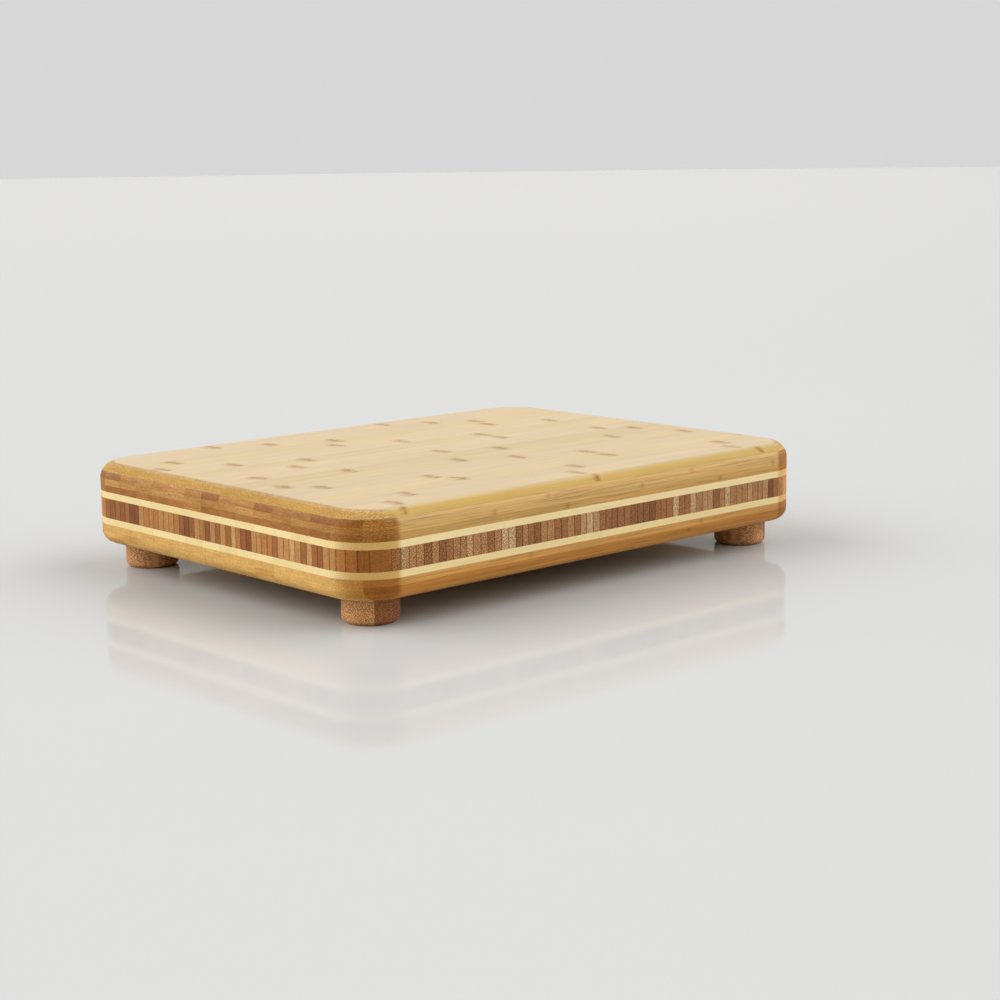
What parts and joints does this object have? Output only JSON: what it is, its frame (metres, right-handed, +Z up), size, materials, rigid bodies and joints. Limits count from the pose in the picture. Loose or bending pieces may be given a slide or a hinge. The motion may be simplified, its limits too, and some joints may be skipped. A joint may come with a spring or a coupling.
{
  "type": "footed cutting board",
  "caption": "Thick laminated bamboo cutting board with rounded corners and rims, pale side stripes around a dark core, standing on short turned feet.",
  "frame": {"origin": "on the counter, under the middle of the board", "axes": "+X along the board's length, +Y towards its back edge, +Z up out of the working surface"},
  "size_m": [0.406, 0.305, 0.073],
  "materials": {
    "top_bamboo": "oiled satin, golden natural bamboo, flat grain",
    "upper_dark_bamboo": "oiled satin, caramel bamboo, flat grain",
    "upper_honey_bamboo": "oiled satin, honey bamboo, flat grain",
    "stripe_bamboo": "oiled satin, pale natural bamboo",
    "core_bamboo": "oiled satin, carbonised bamboo staves on edge",
    "lower_bamboo": "oiled satin, golden brown bamboo, flat grain",
    "foot_bamboo": "oiled satin, turned carbonised bamboo with end grain on its sides",
    "screw_steel": "zinc plated"
  },
  "bodies": {
    "root": {"top_strip_01": "top_bamboo", "top_strip_02": "top_bamboo", "top_strip_03": "top_bamboo", "top_strip_04": "top_bamboo", "top_strip_05": "top_bamboo", "top_strip_06": "top_bamboo", "top_strip_07": "top_bamboo", "top_strip_08": "top_bamboo", "top_strip_09": "top_bamboo", "top_strip_10": "top_bamboo", "top_strip_11": "top_bamboo", "top_strip_12": "top_bamboo", "top_strip_13": "top_bamboo", "top_strip_14": "top_bamboo", "top_strip_15": "top_bamboo", "top_strip_16": "top_bamboo", "top_strip_17": "top_bamboo", "upper_ply_1": "upper_dark_bamboo", "upper_ply_2": "upper_honey_bamboo", "upper_ply_3": "upper_dark_bamboo", "upper_stripe": "stripe_bamboo", "core_field": "core_bamboo", "core_end_left": "core_bamboo", "core_end_right": "core_bamboo", "lower_stripe": "stripe_bamboo", "lower_ply_1": "lower_bamboo", "lower_ply_2": "lower_bamboo", "bottom_strip_01": "lower_bamboo", "bottom_strip_02": "lower_bamboo", "bottom_strip_03": "lower_bamboo", "bottom_strip_04": "lower_bamboo", "bottom_strip_05": "lower_bamboo", "bottom_strip_06": "lower_bamboo", "bottom_strip_07": "lower_bamboo", "bottom_strip_08": "lower_bamboo", "bottom_strip_09": "lower_bamboo", "bottom_strip_10": "lower_bamboo", "bottom_strip_11": "lower_bamboo", "bottom_strip_12": "lower_bamboo", "bottom_strip_13": "lower_bamboo", "bottom_strip_14": "lower_bamboo", "bottom_strip_15": "lower_bamboo", "bottom_strip_16": "lower_bamboo", "bottom_strip_17": "lower_bamboo", "foot_front_left": "foot_bamboo", "foot_screw_front_left": "screw_steel", "foot_front_right": "foot_bamboo", "foot_screw_front_right": "screw_steel", "foot_back_left": "foot_bamboo", "foot_screw_back_left": "screw_steel", "foot_back_right": "foot_bamboo", "foot_screw_back_right": "screw_steel"}
  },
  "joints": []
}
